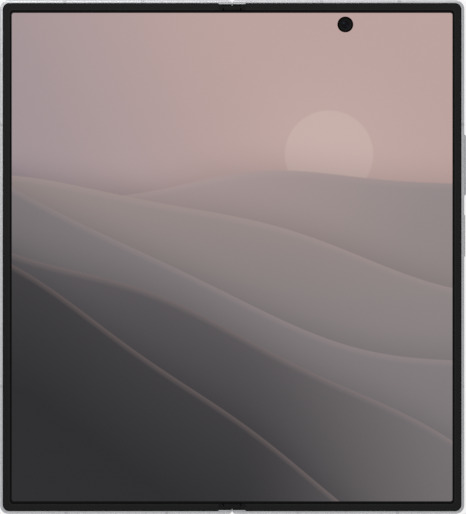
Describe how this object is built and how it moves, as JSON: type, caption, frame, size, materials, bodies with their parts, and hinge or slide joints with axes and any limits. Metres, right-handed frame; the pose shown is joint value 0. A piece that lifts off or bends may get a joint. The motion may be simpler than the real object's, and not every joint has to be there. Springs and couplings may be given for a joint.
{
  "type": "foldable smartphone",
  "caption": "Book-type foldable smartphone, opened flat, with a large inner screen, side keys, rear camera island and geared hinge.",
  "frame": {"origin": "centre of the opened phone, on the plane of its lowest point, the camera lens rings", "axes": "+X to the right and +Y to the top as the inner screen is read, +Z out of the inner screen"},
  "size_m": [0.1438, 0.1584, 0.0065],
  "materials": {
    "satin_aluminium": "satin anodised silver",
    "antenna_plastic": "satin, moulded flush with the frame",
    "surround_plastic": "fine matte",
    "screen_glass": "glossy folding film over a lit screen",
    "panel_glass": "frosted silver glass",
    "black_glass": "polished black glass",
    "lens_glass": "polished coated lens",
    "island_metal": "fine blasted",
    "ring_metal": "turned, satin",
    "camera_black": "matte black",
    "flash_lens": "clear, slightly yellow",
    "battery_foil": "matte laminated pouch",
    "circuit_board": "solder resist",
    "chip_epoxy": "moulded epoxy",
    "shield_steel": "tinned sheet",
    "spring_steel": "ground",
    "gear_brass": "hobbed",
    "coil_copper": "enamelled copper",
    "flex_film": "polyimide film",
    "magnet_nickel": "nickel plated",
    "contact_gold": "gold plated contacts"
  },
  "bodies": {
    "right_half": {"right_frame": "satin_aluminium", "right_antenna_breaks": "antenna_plastic", "right_screen_surround": "surround_plastic", "right_display": "screen_glass", "rear_panel": "panel_glass", "camera_island": "island_metal", "lens_rings": "ring_metal", "lens_glasses": "lens_glass", "rear_cameras": "camera_black", "flash": "flash_lens", "selfie_camera": "camera_black", "right_battery": "battery_foil", "charging_coil": "coil_copper", "main_board": "circuit_board", "board_chips": "chip_epoxy", "shield_cans": "shield_steel", "usb_board": "circuit_board", "usb_c_port": "spring_steel", "loudspeaker": "camera_black", "vibration_motor": "spring_steel", "microphones": "shield_steel", "key_switches": "contact_gold", "right_magnets": "magnet_nickel", "right_arcs": "spring_steel", "right_screws": "spring_steel", "right_flex_tails": "flex_film"},
    "spine": {"hinge_spine": "satin_aluminium", "hinge_brackets": "spring_steel", "gear_frames": "spring_steel", "hinge_screws": "spring_steel", "hinge_end_caps": "surround_plastic", "fold_display": "screen_glass", "fold_support_lattice": "spring_steel", "hinge_flex_cables": "flex_film"},
    "left_half": {"left_frame": "satin_aluminium", "left_antenna_breaks": "antenna_plastic", "left_screen_surround": "surround_plastic", "left_display": "screen_glass", "cover_glass": "black_glass", "cover_display": "black_glass", "cover_camera": "camera_black", "left_battery": "battery_foil", "left_upper_board": "circuit_board", "left_lower_board": "circuit_board", "earpiece_speaker": "camera_black", "sim_reader": "shield_steel", "left_magnets": "magnet_nickel", "left_arcs": "spring_steel", "left_screws": "spring_steel", "left_flex_tails": "flex_film"},
    "left_swing_gear": {"left_swing_gear": "gear_brass"},
    "left_idler_gear": {"left_idler_gear": "gear_brass"},
    "right_idler_gear": {"right_idler_gear": "gear_brass"},
    "right_swing_gear": {"right_swing_gear": "gear_brass"},
    "volume_rocker": {"volume_rocker": "satin_aluminium"},
    "side_key": {"side_key": "satin_aluminium", "fingerprint_sensor": "black_glass"},
    "sim_tray": {"sim_tray": "satin_aluminium", "sim_card": "contact_gold"}
  },
  "joints": [
    {"name": "fold_right", "type": "hinge", "parent": "spine", "child": "right_half", "pos_m": [0.0013, 0, 0.00545], "axis": [0, -1, 0], "range_deg": [0, 90], "deforming": ["fold_display", "fold_support_lattice", "hinge_flex_cables"]},
    {"name": "fold_left", "type": "hinge", "parent": "spine", "child": "left_half", "pos_m": [-0.0013, 0, 0.00545], "axis": [0, 1, 0], "range_deg": [0, 90]},
    {"name": "left_swing_gear_turn", "type": "hinge", "parent": "spine", "child": "left_swing_gear", "pos_m": [-0.0019, 0, 0.0044], "axis": [0, 1, 0], "range_deg": [0, 90]},
    {"name": "left_idler_gear_turn", "type": "hinge", "parent": "spine", "child": "left_idler_gear", "pos_m": [-0.00063, 0, 0.0044], "axis": [0, 1, 0], "range_deg": [-90, 0]},
    {"name": "right_idler_gear_turn", "type": "hinge", "parent": "spine", "child": "right_idler_gear", "pos_m": [0.00063, 0, 0.0044], "axis": [0, 1, 0], "range_deg": [0, 90]},
    {"name": "right_swing_gear_turn", "type": "hinge", "parent": "spine", "child": "right_swing_gear", "pos_m": [0.0019, 0, 0.0044], "axis": [0, 1, 0], "range_deg": [-90, 0]},
    {"name": "volume_rock", "type": "hinge", "parent": "right_half", "child": "volume_rocker", "pos_m": [0.0697, 0.02835, 0.00435], "axis": [0, 0, 1], "range_deg": [-1, 1], "stiffness_Nm_per_rad": 0.4},
    {"name": "side_key_press", "type": "slide", "parent": "right_half", "child": "side_key", "axis": [-1, 0, 0], "range_m": [0, 0.00025], "stiffness_N_per_m": 4000},
    {"name": "sim_tray_slide", "type": "slide", "parent": "left_half", "child": "sim_tray", "axis": [0, -1, 0], "range_m": [0, 0.022]}
  ],
  "couplings": [
    {"joint": "fold_left", "follows": "fold_right", "ratio": 1},
    {"joint": "left_swing_gear_turn", "follows": "fold_right", "ratio": 1},
    {"joint": "left_idler_gear_turn", "follows": "fold_right", "ratio": -1},
    {"joint": "right_idler_gear_turn", "follows": "fold_right", "ratio": 1},
    {"joint": "right_swing_gear_turn", "follows": "fold_right", "ratio": -1}
  ]
}
